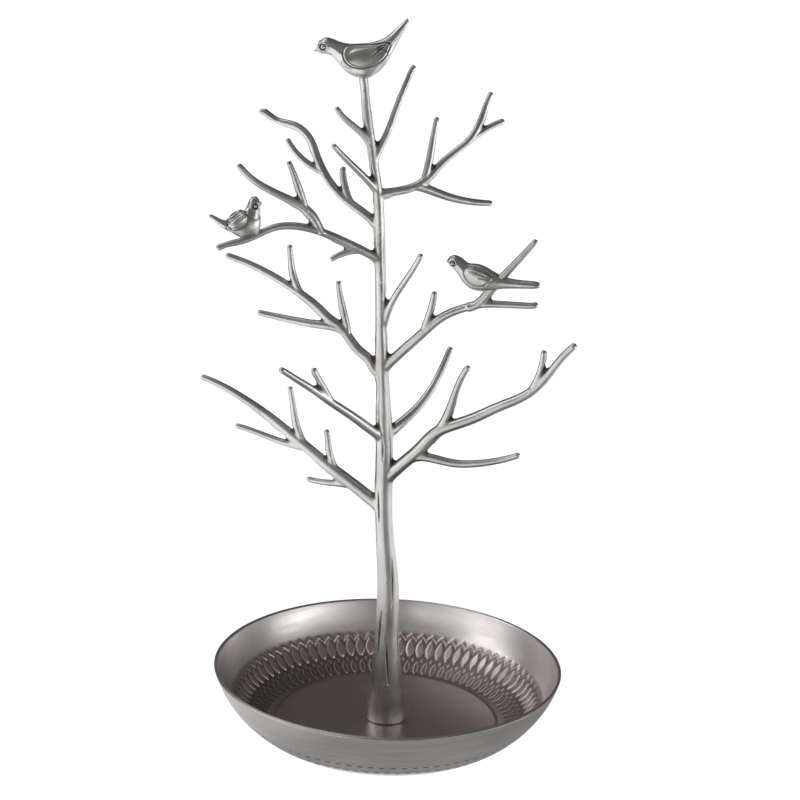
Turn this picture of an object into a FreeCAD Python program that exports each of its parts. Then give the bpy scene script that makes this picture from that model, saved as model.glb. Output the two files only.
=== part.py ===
import FreeCAD, Part
import math
import os

# A jewellery tree with three birds, standing in a round pressed dish.
# Millimetres, +Z up, origin at the centre of the pad that the dish stands on, front towards -Y.

Vector = FreeCAD.Vector
up = Vector(0, 0, 1)

# Dish, pressed from one sheet, and the soft pad under it
dish_diameter = 154.0
dish_height = 29.2
sheet = 1.2
foot_ring_diameter = 108.0
floor_diameter = 96.0
floor_rise = 1.9
boss_diameter = 14.0
boss_rise = 2.4
boss_slope_share = 0.914
wall_middle_share = (0.904, 0.514)
rim_round_share = 0.4
pad_thickness = 1.5
pad_diameter = 101.0

# Trunk
trunk_height = 290.0
trunk_diameter = 9.0
foot_gap = 0.2
boss_clearance = 0.4

# Branches, arms and twigs, round in section
thick_root_diameter = 6.0
limb_root_diameter = 4.6
upper_root_diameter = 3.9
slim_root_diameter = 3.3
arm_root_diameter = 4.2
twig_root_diameter = 3.2
limb_tip_diameter = 2.7
stout_tip_diameter = 3.2
arm_tip_diameter = 2.6
twig_tip_diameter = 2.4
taper_power = 1.0
section_pitch = 6.0
least_section_count = 5
ring_point_count = 8

# Rounded tip: how far each ring stands out, and what it keeps of the tip's radius
tip_shares = [(0.40, 0.93), (0.72, 0.72), (0.94, 0.36)]

# Pegs that set each branch into the trunk, and the film of solder round each seat
peg_diameter = 1.6
peg_depth = 2.0
peg_hold = 1.6
peg_clearance = 0.05
solder_gap = 0.1

# Screw and washers that hold the trunk down through the dish
screw_diameter = 4.0
screw_length = 18.0
screw_head_diameter = 7.6
screw_head_height = 2.2
key_across_flats = 2.5
key_depth = 1.3
head_round_share = 0.7
screw_hole_clearance = 0.3
thread_clearance = 0.05
screw_hole_spare = 2.0
flat_washer_diameter = 9.0
flat_washer_thickness = 0.8
spring_washer_diameter = 7.4
spring_washer_thickness = 1.0
spring_washer_split = 0.8
washer_clearance = 0.2

# Birds
top_bird_length = 38.0
right_bird_length = 38.6
left_bird_length = 20.4
spigot_diameter = 2.0
spigot_length = 4.0
bird_peg_diameter = 1.2
bird_peg_depth = 1.5
bird_peg_hold = 2.0

overrun = 1.0

# Heights that follow from the sizes above
ring_under = pad_thickness
floor_under = ring_under + floor_rise
floor_top = floor_under + sheet
boss_under = floor_under + boss_rise
boss_top = boss_under + sheet
trunk_bottom = floor_top + foot_gap
washers = flat_washer_thickness + spring_washer_thickness
screw_seat = boss_under - washers

# Trunk stations from the foot up: height and sideways lean as shares of the trunk's height,
# and girth as a share of the trunk's diameter.
trunk_shares = [
    (0.000, 0.000, 2.06),
    (0.014, 0.000, 2.00),
    (0.036, 0.000, 1.80),
    (0.064, -0.001, 1.56),
    (0.095, -0.002, 1.36),
    (0.130, -0.003, 1.20),
    (0.190, -0.003, 1.09),
    (0.255, -0.007, 0.98),
    (0.320, -0.013, 0.85),
    (0.390, -0.0155, 0.85),
    (0.465, -0.0176, 0.78),
    (0.545, -0.0225, 0.65),
    (0.625, -0.027, 0.55),
    (0.715, -0.031, 0.52),
    (0.810, -0.036, 0.46),
    (0.880, -0.046, 0.43),
    (0.940, -0.0562, 0.42),
    (1.000, -0.0642, 0.44),
]

# Every branch lies in one upright plane through the trunk. Side is -1 to the left and 1 to the right,
# front is how far the plane swings towards the front in degrees, and root is the height of its root.
# Routes run outwards: reach from the trunk's axis and height above the dish's floor, as shares of the
# trunk's height. A twig starts inside the limb or arm that carries it.
branches = {
    "crown_twig_left": dict(
        side=-1, front=20, root_share=0.886, root=slim_root_diameter, tip=twig_tip_diameter,
        limb_shares=[(0.008, 0.906), (0.016, 0.917), (0.030, 0.928), (0.044, 0.941), (0.056, 0.955)],
        arms_shares=[],
        twigs_shares=[],
    ),
    "crown_twig_right": dict(
        side=1, front=-15, root_share=0.872, root=slim_root_diameter, tip=twig_tip_diameter,
        limb_shares=[(0.008, 0.896), (0.016, 0.913), (0.029, 0.950), (0.043, 0.988), (0.053, 1.012)],
        arms_shares=[],
        twigs_shares=[],
    ),
    "upper_left_twig": dict(
        side=-1, front=30, root_share=0.831, root=slim_root_diameter, tip=twig_tip_diameter,
        limb_shares=[(0.024, 0.856), (0.046, 0.877), (0.074, 0.905)],
        arms_shares=[],
        twigs_shares=[],
    ),
    "upper_left_branch": dict(
        side=-1, front=-20, root_share=0.777, root=upper_root_diameter, tip=limb_tip_diameter,
        limb_shares=[(0.025, 0.795), (0.049, 0.809), (0.071, 0.826), (0.092, 0.853),
                     (0.108, 0.887), (0.120, 0.905), (0.146, 0.915), (0.189, 0.928)],
        arms_shares=[],
        twigs_shares=[
            [(0.047, 0.808), (0.056, 0.832), (0.060, 0.857)],
            [(0.090, 0.850), (0.117, 0.860), (0.136, 0.875), (0.147, 0.889)],
        ],
    ),
    "left_perch_branch": dict(
        side=-1, front=18, root_share=0.728, root=upper_root_diameter, tip=limb_tip_diameter,
        limb_shares=[(0.028, 0.744), (0.060, 0.761), (0.088, 0.774), (0.124, 0.785), (0.147, 0.787),
                     (0.170, 0.783), (0.195, 0.772), (0.215, 0.767), (0.243, 0.760)],
        arms_shares=[
            [(0.090, 0.774), (0.101, 0.794), (0.118, 0.813), (0.142, 0.827), (0.165, 0.839), (0.214, 0.878)],
        ],
        twigs_shares=[
            [(0.116, 0.812), (0.126, 0.843), (0.141, 0.879)],
            [(0.029, 0.745), (0.057, 0.741), (0.073, 0.734)],
        ],
    ),
    "middle_left_branch": dict(
        side=-1, front=-12, root_share=0.558, root=limb_root_diameter, tip=limb_tip_diameter,
        limb_shares=[(0.017, 0.569), (0.032, 0.582), (0.052, 0.604), (0.063, 0.618), (0.081, 0.630),
                     (0.101, 0.647), (0.128, 0.665), (0.158, 0.682), (0.204, 0.702), (0.238, 0.712)],
        arms_shares=[
            [(0.059, 0.614), (0.076, 0.619), (0.098, 0.620), (0.157, 0.625), (0.188, 0.629)],
        ],
        twigs_shares=[
            [(0.126, 0.663), (0.134, 0.679), (0.140, 0.699), (0.145, 0.734)],
            [(0.053, 0.606), (0.060, 0.641), (0.065, 0.660), (0.070, 0.686)],
        ],
    ),
    "lower_left_branch": dict(
        side=-1, front=30, root_share=0.452, root=limb_root_diameter, tip=limb_tip_diameter,
        limb_shares=[(0.024, 0.470), (0.058, 0.497), (0.092, 0.522), (0.126, 0.548), (0.160, 0.572),
                     (0.174, 0.582)],
        arms_shares=[],
        twigs_shares=[
            [(0.092, 0.522), (0.104, 0.545), (0.113, 0.560), (0.121, 0.575)],
        ],
    ),
    "lowest_left_branch": dict(
        side=-1, front=-20, root_share=0.340, root=thick_root_diameter, tip=limb_tip_diameter,
        limb_shares=[(0.023, 0.354), (0.054, 0.373), (0.088, 0.393), (0.123, 0.416), (0.157, 0.438),
                     (0.187, 0.457), (0.235, 0.482), (0.269, 0.496), (0.298, 0.504)],
        arms_shares=[],
        twigs_shares=[
            [(0.128, 0.419), (0.142, 0.446), (0.151, 0.484), (0.156, 0.507)],
            [(0.127, 0.418), (0.154, 0.419), (0.202, 0.428), (0.240, 0.435)],
            [(0.076, 0.386), (0.088, 0.411), (0.092, 0.431), (0.095, 0.448)],
            [(0.046, 0.368), (0.070, 0.369), (0.103, 0.367), (0.122, 0.368)],
        ],
    ),
    "upper_right_branch": dict(
        side=1, front=-18, root_share=0.826, root=upper_root_diameter, tip=limb_tip_diameter,
        limb_shares=[(0.019, 0.829), (0.050, 0.834), (0.070, 0.844), (0.094, 0.867), (0.124, 0.891),
                     (0.153, 0.912), (0.185, 0.927)],
        arms_shares=[
            [(0.058, 0.837), (0.080, 0.829), (0.110, 0.817), (0.142, 0.809), (0.172, 0.805)],
        ],
        twigs_shares=[
            [(0.070, 0.844), (0.076, 0.876), (0.082, 0.915), (0.085, 0.934)],
            [(0.133, 0.898), (0.149, 0.922), (0.160, 0.952), (0.166, 0.968)],
        ],
    ),
    "right_twig": dict(
        side=1, front=25, root_share=0.618, root=slim_root_diameter, tip=twig_tip_diameter,
        limb_shares=[(0.007, 0.641), (0.015, 0.664), (0.033, 0.697), (0.047, 0.720), (0.059, 0.743)],
        arms_shares=[],
        twigs_shares=[],
    ),
    "right_perch_branch": dict(
        side=1, front=15, root_share=0.560, root=limb_root_diameter, tip=limb_tip_diameter,
        limb_shares=[(0.021, 0.583), (0.042, 0.605), (0.066, 0.630), (0.088, 0.651), (0.114, 0.666),
                     (0.137, 0.675), (0.181, 0.681), (0.226, 0.685)],
        arms_shares=[
            [(0.127, 0.671), (0.144, 0.681), (0.159, 0.701), (0.178, 0.725), (0.221, 0.779)],
        ],
        twigs_shares=[
            [(0.060, 0.624), (0.071, 0.665), (0.075, 0.685)],
        ],
    ),
    "inner_right_branch": dict(
        side=1, front=-30, root_share=0.455, root=limb_root_diameter, tip=limb_tip_diameter,
        limb_shares=[(0.028, 0.473), (0.045, 0.484), (0.061, 0.498), (0.077, 0.517), (0.094, 0.546),
                     (0.108, 0.577)],
        arms_shares=[],
        twigs_shares=[],
    ),
    "lowest_right_branch": dict(
        side=1, front=18, root_share=0.386, root=thick_root_diameter, tip=stout_tip_diameter,
        limb_shares=[(0.025, 0.413), (0.055, 0.445), (0.080, 0.474), (0.100, 0.486), (0.131, 0.501),
                     (0.176, 0.528), (0.206, 0.545), (0.235, 0.571), (0.254, 0.598), (0.281, 0.633)],
        arms_shares=[
            [(0.072, 0.465), (0.090, 0.491), (0.102, 0.525), (0.123, 0.579)],
            [(0.037, 0.426), (0.064, 0.432), (0.103, 0.429), (0.149, 0.435), (0.205, 0.455)],
        ],
        twigs_shares=[
            [(0.217, 0.553), (0.231, 0.582), (0.235, 0.600), (0.237, 0.618)],
        ],
    ),
}

# Each bird is seen from its side, in pixels of the photograph, x to the right and y down. A section is
# its point on the back, its point under the belly and its half width. Sections run from face to tail.
# The left bird holds its head up, so its head and neck have sections of their own, from the top down.
birds = {
    "bird_top": dict(
        length=top_bird_length, span_px=91.5, perch_px=(364.5, 75.0), facing=1, tilt=2.0,
        sections_px=[
            ((318.6, 43.4), (318.0, 49.4), 2.0), ((321.0, 38.8), (321.3, 51.4), 5.2),
            ((327.2, 35.0), (328.0, 52.0), 7.0), ((334.5, 36.8), (334.2, 54.4), 7.4),
            ((342.0, 40.2), (340.3, 62.0), 8.8), ((350.0, 41.8), (347.0, 70.3), 11.2),
            ((359.0, 42.1), (356.6, 75.6), 12.9), ((368.0, 41.4), (367.0, 77.8), 13.3),
            ((376.0, 39.8), (378.2, 72.6), 11.8), ((383.0, 37.4), (388.0, 61.8), 8.7),
            ((389.5, 33.6), (395.0, 48.5), 6.0), ((397.0, 26.5), (401.3, 36.5), 4.2),
            ((404.3, 19.5), (407.5, 25.3), 3.1), ((408.5, 16.0), (410.6, 19.6), 1.9),
        ],
        head_px=[],
        beak_px=((321.5, 46.6), (315.6, 49.6), 3.0, 0.6),
        eye_px=((324.5, 44.0), 5.4, 1.9),
        wing_px=((366.5, 55.0), (23.5, 10.5), 9.5, 4.2, 9.0),
    ),
    "bird_right": dict(
        length=right_bird_length, span_px=91.0, perch_px=(486.0, 290.0), facing=1, tilt=5.5,
        sections_px=[
            ((448.8, 258.0), (449.2, 262.9), 1.8), ((451.0, 255.2), (452.0, 266.2), 4.4),
            ((456.5, 253.6), (456.5, 270.2), 6.2), ((463.2, 256.8), (459.6, 275.2), 6.9),
            ((468.5, 262.0), (463.6, 282.2), 8.6), ((476.5, 262.8), (472.0, 289.2), 10.2),
            ((485.5, 264.8), (484.0, 291.2), 10.2), ((494.0, 270.0), (493.0, 290.0), 8.2),
            ((502.0, 274.4), (502.0, 288.0), 6.1), ((511.0, 277.2), (512.0, 287.6), 5.0),
            ((521.0, 278.7), (521.5, 287.5), 4.6), ((530.0, 279.4), (530.5, 287.5), 4.6),
            ((537.0, 280.0), (537.3, 287.4), 4.3), ((541.0, 281.4), (541.2, 286.2), 2.8),
        ],
        head_px=[],
        beak_px=((452.0, 260.0), (446.8, 260.8), 2.8, 0.6),
        eye_px=((454.5, 261.5), 4.9, 1.8),
        wing_px=((480.5, 273.5), (15.0, 7.5), 7.4, 3.6, -24.0),
    ),
    "bird_left": dict(
        length=left_bird_length, span_px=49.0, perch_px=(244.0, 238.0), facing=-1, tilt=2.0,
        sections_px=[
            ((259.8, 216.0), (259.8, 228.0), 2.2), ((259.0, 213.0), (259.0, 233.0), 4.8),
            ((256.0, 211.0), (256.2, 236.4), 7.2), ((252.4, 210.0), (252.8, 238.0), 8.4),
            ((248.4, 209.4), (248.6, 238.8), 8.9), ((245.0, 209.0), (245.0, 239.0), 9.0),
            ((241.6, 210.0), (240.6, 238.2), 8.8), ((236.4, 212.6), (236.0, 235.8), 8.2),
            ((231.0, 217.4), (231.2, 233.0), 7.2), ((226.4, 220.2), (226.8, 230.8), 6.0),
            ((221.4, 219.6), (221.8, 228.4), 4.9), ((215.4, 216.6), (216.0, 224.4), 4.0),
            ((210.4, 214.0), (210.8, 220.0), 3.3), ((207.2, 213.4), (207.6, 217.6), 2.0),
        ],
        head_px=[
            ((251.4, 196.0), (254.6, 196.0), 1.4), ((248.6, 197.6), (257.0, 197.8), 4.2),
            ((246.6, 201.6), (258.8, 202.6), 5.7), ((245.4, 206.2), (259.0, 207.6), 6.0),
            ((243.0, 210.2), (259.2, 213.0), 7.0), ((242.0, 215.0), (258.6, 219.5), 7.8),
            ((241.8, 219.0), (256.8, 225.5), 7.4),
        ],
        beak_px=((255.6, 203.0), (260.6, 203.0), 3.0, 0.9),
        eye_px=((252.3, 204.5), 5.3, 1.6),
        wing_px=((236.0, 219.0), (10.0, 5.6), 7.0, 3.2, -36.0),
    ),
}
section_cut_share = 0.25
bird_right_place_share = (0.152, 0.699)
bird_left_place_share = (0.206, 0.773)


def ring(centre, side_axis, rise_axis, half_side, half_rise):
    """A closed oval wire, always started on its side axis."""
    points = []
    for i in range(ring_point_count):
        turn = 2 * math.pi * i / ring_point_count
        sideways = side_axis * (half_side * math.cos(turn))
        upwards = rise_axis * (half_rise * math.sin(turn))
        points.append(centre + sideways + upwards)
    curve = Part.BSplineCurve()
    curve.interpolate(Points=points, PeriodicFlag=True)
    return Part.Wire([curve.toShape()])


def smooth_curve(points):
    curve = Part.BSplineCurve()
    curve.interpolate(Points=points)
    return curve


def loft(wires):
    return Part.makeLoft(wires, True, False)


def largest(shape):
    return max(shape.Solids, key=lambda solid: solid.Volume)


def cylinder(diameter, length, start, direction=up):
    return Part.makeCylinder(diameter / 2, length, start, direction)


def washer(outer, inner, thickness, bottom):
    disc = cylinder(outer, thickness, Vector(0, 0, bottom))
    return disc.cut(cylinder(inner, thickness + 2 * overrun, Vector(0, 0, bottom - overrun)))


def trunk_height_at(rise_share):
    return trunk_bottom + rise_share * trunk_height


def trunk_axis():
    points = [Vector(lean * trunk_height, 0, trunk_height_at(rise)) for rise, lean, girth in trunk_shares]
    return smooth_curve(points)


def trunk_place(rise_share):
    """The point of the trunk's axis at a share of its height."""
    curve = trunk_axis()
    low, high = curve.FirstParameter, curve.LastParameter
    for halving in range(40):
        middle = (low + high) / 2
        if curve.value(middle).z < trunk_height_at(rise_share):
            low = middle
        else:
            high = middle
    return curve.value(high)


def trunk_body(growth=0.0):
    """The plain trunk, or a copy grown all round by a gap."""
    wires = []
    for rise, lean, girth in trunk_shares:
        centre = Vector(lean * trunk_height, 0, trunk_height_at(rise))
        half = girth * trunk_diameter / 2 + growth
        wires.append(ring(centre, Vector(1, 0, 0), Vector(0, 1, 0), half, half))
    return loft(wires)


def rod(points, plane_normal, root_diameter, tip_diameter, growth=0.0):
    """A round rod along a smooth route in one plane, tapered to a rounded tip."""
    curve = smooth_curve(points)
    edge = curve.toShape()
    count = max(least_section_count, math.ceil(edge.Length / section_pitch))
    wires = []
    for i, point in enumerate(edge.discretize(Number=count)):
        left = 1 - i / (count - 1)
        half = (tip_diameter + (root_diameter - tip_diameter) * left ** taper_power) / 2 + growth
        tangent = curve.tangent(curve.parameter(point))[0]
        across = tangent.cross(plane_normal)
        wires.append(ring(point, plane_normal, across, half, half))
    cap = [wires[-1]]
    for out, keep in tip_shares:
        cap.append(ring(point + tangent * (out * half), plane_normal, across, keep * half, keep * half))
    return loft(wires).fuse(loft(cap))


class Plane:
    """The upright plane of one branch, with its outward direction and its normal."""

    def __init__(self, name):
        spec = branches[name]
        turn = math.radians(spec["front"])
        self.base = trunk_place(spec["root_share"])
        self.out = Vector(spec["side"] * math.cos(turn), -math.sin(turn), 0)
        self.normal = self.out.cross(up)

    def point(self, shares):
        reach, rise = shares
        foot = Vector(self.base.x, self.base.y, trunk_height_at(rise))
        return foot + self.out * (reach * trunk_height)

    def points(self, route):
        return [self.point(shares) for shares in route]


def limb_points(name):
    plane = Plane(name)
    return [plane.base] + plane.points(branches[name]["limb_shares"])


def limb(name, growth=0.0):
    spec = branches[name]
    return rod(limb_points(name), Plane(name).normal, spec["root"], spec["tip"], growth)


def arm(name, route, growth=0.0):
    plane = Plane(name)
    return rod(plane.points(route), plane.normal, arm_root_diameter, arm_tip_diameter, growth)


def twig(name, route):
    plane = Plane(name)
    return rod(plane.points(route), plane.normal, twig_root_diameter, twig_tip_diameter)


def root_peg(name, plain_trunk, growth=0.0):
    """The peg along the limb's own line, where that line leaves the trunk."""
    points = limb_points(name)
    curve = smooth_curve(points)
    inside = curve.toShape().common(plain_trunk)
    leave = max((vertex.Point for vertex in inside.Vertexes), key=points[0].distanceToPoint)
    tangent = curve.tangent(curve.parameter(leave))[0]
    start = leave - tangent * (peg_depth + growth)
    return cylinder(peg_diameter + 2 * growth, peg_depth + growth + peg_hold, start, tangent)


def bird_peg(growth=0.0):
    """The peg under the left bird, straight down into the branch that carries it."""
    place = Plane("left_perch_branch").point(bird_left_place_share)
    start = place - up * (bird_peg_depth + growth)
    return cylinder(bird_peg_diameter + 2 * growth, bird_peg_depth + growth + bird_peg_hold, start)


def branch(name, plain_trunk, grown_trunk):
    """One limb with its arms and twigs, hollowed to sit on the trunk, with its peg."""
    spec = branches[name]
    solid = limb(name)
    for route in spec["arms_shares"]:
        solid = solid.fuse(arm(name, route))
    for route in spec["twigs_shares"]:
        solid = solid.fuse(twig(name, route))
    solid = largest(solid.cut(grown_trunk))
    return largest(solid.fuse(root_peg(name, plain_trunk)))


def trunk(plain_trunk):
    """The trunk with its peg sockets, the screw's hole, the seat over the boss and the top spigot."""
    solid = plain_trunk
    for name in branches:
        solid = solid.cut(root_peg(name, plain_trunk, peg_clearance))
    seat = boss_diameter + 2 * boss_clearance
    below = trunk_bottom - overrun
    solid = solid.cut(cylinder(seat, boss_top - below, Vector(0, 0, below)))
    hole = screw_seat + screw_length + screw_hole_spare - trunk_bottom
    solid = solid.cut(cylinder(screw_diameter + 2 * thread_clearance, hole, Vector(0, 0, trunk_bottom)))
    return largest(solid.fuse(top_spigot()))


def top_spigot(growth=0.0):
    top = trunk_place(1.0)
    length = spigot_length + overrun + growth
    return cylinder(spigot_diameter + 2 * growth, length, top - up * overrun)


class BirdFrame:
    """Turns the side view of a bird into places on the tree."""

    def __init__(self, spec, place, out):
        self.spec = spec
        self.place = place
        self.scale = spec["length"] / spec["span_px"]
        tilt = math.radians(spec["tilt"])
        self.back = out * math.cos(tilt) + up * math.sin(tilt)
        self.rise = up * math.cos(tilt) - out * math.sin(tilt)
        self.side = self.back.cross(self.rise)

    def point(self, pixel, depth_px=0.0):
        perch = self.spec["perch_px"]
        across = (pixel[0] - perch[0]) * self.spec["facing"] * self.scale
        height = (perch[1] - pixel[1]) * self.scale
        return self.place + self.back * across + self.rise * height + self.side * (depth_px * self.scale)


def bird_wing(frame, side):
    """A leaf-shaped pad on one flank: a unit ball stretched along the wing."""
    centre, halves, depth, half_depth, tilt = frame.spec["wing_px"]
    turn = math.radians(tilt)
    along = frame.back * math.cos(turn) + frame.rise * math.sin(turn)
    x = along * (halves[0] * frame.scale)
    y = frame.side * (half_depth * frame.scale)
    z = along.cross(frame.side) * (halves[1] * frame.scale)
    at = frame.point(centre, side * depth)
    stretch = FreeCAD.Matrix(x.x, y.x, z.x, at.x, x.y, y.y, z.y, at.y, x.z, y.z, z.z, at.z, 0, 0, 0, 1)
    return Part.makeSphere(1).transformGeometry(stretch)


def between(here, there, share):
    """The section that lies a share of the way from one section to the next."""
    back, belly = ([a + (b - a) * share for a, b in zip(here[i], there[i])] for i in range(2))
    return back, belly, here[2] + (there[2] - here[2]) * share


def softened(sections):
    """The sections with the corners between them cut, so that the loft can't swing past them."""
    cut = [sections[0]]
    for here, there in zip(sections, sections[1:]):
        cut.append(between(here, there, section_cut_share))
        cut.append(between(here, there, 1 - section_cut_share))
    return cut + [sections[-1]]


def bird_loft(frame, sections):
    """One rounded form through a bird's sections."""
    wires = []
    for back_px, belly_px, half_width in softened(sections):
        belly = frame.point(belly_px)
        half = (frame.point(back_px) - belly) / 2
        rise = half / half.Length
        wires.append(ring(belly + half, frame.side, rise, half_width * frame.scale, half.Length))
    return loft(wires)


def bird(name, place, out):
    """Body lofted from face to tail, with beak, eyes and wings."""
    spec = birds[name]
    frame = BirdFrame(spec, place, out)
    solid = bird_loft(frame, spec["sections_px"])
    if spec["head_px"]:
        solid = solid.fuse(bird_loft(frame, spec["head_px"]))
    base_px, tip_px, base_half, tip_half = spec["beak_px"]
    base = frame.point(base_px)
    line = frame.point(tip_px) - base
    beak = Part.makeCone(base_half * frame.scale, tip_half * frame.scale, line.Length, base, line)
    solid = solid.fuse(beak)
    eye_px, eye_depth, eye_half = spec["eye_px"]
    for side in (-1, 1):
        solid = solid.fuse(bird_wing(frame, side))
        solid = solid.fuse(Part.makeSphere(eye_half * frame.scale, frame.point(eye_px, side * eye_depth)))
    return largest(solid)


def dish():
    """The sheet's underside as one open line, thickened upwards and turned about the middle."""
    boss = boss_diameter / 2
    rim = dish_diameter / 2
    line = [
        Vector(screw_diameter / 2 + screw_hole_clearance, 0, boss_under),
        Vector(boss * boss_slope_share - sheet, 0, boss_under),
        Vector(boss - sheet, 0, floor_under),
        Vector(floor_diameter / 2, 0, floor_under),
        Vector(floor_diameter / 2 + floor_rise, 0, ring_under),
        Vector(foot_ring_diameter / 2, 0, ring_under),
    ]
    middle = Vector(rim * wall_middle_share[0], 0, dish_height * wall_middle_share[1])
    edges = [Part.LineSegment(a, b).toShape() for a, b in zip(line, line[1:])]
    edges.append(Part.Arc(line[-1], middle, Vector(rim, 0, dish_height)).toShape())
    strip = Part.Wire(edges).makeOffset2D(sheet, join=2, fill=True, openResult=True)
    solid = largest(strip.revolve(Vector(0, 0, 0), up, 360))
    rim_edges = [edge for edge in solid.Edges if edge.BoundBox.ZMin > dish_height - sheet]
    return solid.makeFillet(rim_round_share * sheet, rim_edges)


def base_pad():
    return cylinder(pad_diameter, pad_thickness, Vector(0, 0, 0))


def fixing_screw():
    """Button-head screw, head down, with a hexagon key hole."""
    head_bottom = screw_seat - screw_head_height
    head = cylinder(screw_head_diameter, screw_head_height, Vector(0, 0, head_bottom))
    lower = [edge for edge in head.Edges if edge.BoundBox.ZMax < screw_seat - screw_head_height / 2]
    head = head.makeFillet(head_round_share * screw_head_height, lower)
    corner = key_across_flats / math.sqrt(3)
    outline = []
    for i in range(7):
        turn = math.pi / 3 * i
        outline.append(Vector(corner * math.cos(turn), corner * math.sin(turn), head_bottom - overrun))
    key = Part.Face(Part.makePolygon(outline)).extrude(up * (key_depth + overrun))
    shank = cylinder(screw_diameter, screw_length, Vector(0, 0, screw_seat))
    return largest(head.cut(key).fuse(shank))


def flat_washer():
    inner = screw_diameter + 2 * washer_clearance
    return washer(flat_washer_diameter, inner, flat_washer_thickness, screw_seat + spring_washer_thickness)


def spring_washer():
    """A split ring, shown pressed flat."""
    inner = screw_diameter + 2 * washer_clearance
    body = washer(spring_washer_diameter, inner, spring_washer_thickness, screw_seat)
    corner = Vector(0, -spring_washer_split / 2, screw_seat - overrun)
    height = spring_washer_thickness + 2 * overrun
    return largest(body.cut(Part.makeBox(spring_washer_diameter, spring_washer_split, height, corner)))


def make_parts():
    plain_trunk = trunk_body()
    grown_trunk = trunk_body(solder_gap)
    parts = {
        "dish": dish(),
        "base_pad": base_pad(),
        "fixing_screw": fixing_screw(),
        "flat_washer": flat_washer(),
        "spring_washer": spring_washer(),
        "trunk": trunk(plain_trunk),
    }
    for name in branches:
        parts[name] = branch(name, plain_trunk, grown_trunk)

    # The top bird sits on the trunk's end and its spigot.
    top = bird("bird_top", trunk_place(1.0), Vector(1, 0, 0))
    parts["bird_top"] = largest(top.cut(grown_trunk).cut(top_spigot(peg_clearance)))

    # The right bird is threaded on the rising arm of its branch.
    plane = Plane("right_perch_branch")
    body = bird("bird_right", plane.point(bird_right_place_share), plane.out)
    perch = arm("right_perch_branch", branches["right_perch_branch"]["arms_shares"][0], solder_gap)
    parts["bird_right"] = largest(body.cut(perch))

    # The left bird straddles its branch and is pegged into it.
    plane = Plane("left_perch_branch")
    body = bird("bird_left", plane.point(bird_left_place_share), plane.out)
    body = largest(body.cut(limb("left_perch_branch", solder_gap)))
    parts["bird_left"] = largest(body.fuse(bird_peg()))
    parts["left_perch_branch"] = largest(parts["left_perch_branch"].cut(bird_peg(peg_clearance)))
    return parts


def main():
    os.makedirs("parts", exist_ok=True)
    for name, shape in make_parts().items():
        shape.exportStep(os.path.join("parts", name + ".step"))
        print(name, round(shape.Volume, 1), "valid", shape.isValid(), "solids", len(shape.Solids))


if __name__ == "__main__":
    main()
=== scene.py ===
import math

import bmesh
import bpy
import numpy as np
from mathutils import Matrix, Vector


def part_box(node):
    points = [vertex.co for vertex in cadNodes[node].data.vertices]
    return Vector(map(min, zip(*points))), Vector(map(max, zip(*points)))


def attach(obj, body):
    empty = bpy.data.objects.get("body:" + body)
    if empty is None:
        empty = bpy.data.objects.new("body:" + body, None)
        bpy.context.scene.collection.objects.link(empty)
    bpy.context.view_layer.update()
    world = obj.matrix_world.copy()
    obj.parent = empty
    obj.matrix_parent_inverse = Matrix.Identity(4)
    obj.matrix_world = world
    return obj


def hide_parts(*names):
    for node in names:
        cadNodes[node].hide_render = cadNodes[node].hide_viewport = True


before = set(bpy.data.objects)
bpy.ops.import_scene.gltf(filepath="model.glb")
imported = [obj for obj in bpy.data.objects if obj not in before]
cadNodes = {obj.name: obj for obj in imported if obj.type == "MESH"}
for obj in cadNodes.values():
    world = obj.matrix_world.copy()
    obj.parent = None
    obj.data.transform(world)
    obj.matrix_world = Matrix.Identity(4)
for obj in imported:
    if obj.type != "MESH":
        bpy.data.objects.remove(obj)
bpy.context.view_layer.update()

import openvdb
from mathutils import Matrix, Vector
from mathutils.bvhtree import BVHTree

mm = 0.001  # all shapes below are worked out in millimetres
tiny = 1e-9  # keeps a division away from zero


# shader helpers

class Wire:
    # one output of a node, so that shader maths can be written as an expression
    def __init__(self, finish, socket):
        self.finish = finish
        self.socket = socket

    def math(self, operation, first, second):
        return self.finish.add("ShaderNodeMath", {"operation": operation}, {0: first, 1: second})

    def __add__(self, other):
        return self.math("ADD", self, other)

    __radd__ = __add__

    def __sub__(self, other):
        return self.math("SUBTRACT", self, other)

    def __rsub__(self, other):
        return self.math("SUBTRACT", other, self)

    def __mul__(self, other):
        return self.math("MULTIPLY", self, other)

    __rmul__ = __mul__


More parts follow.
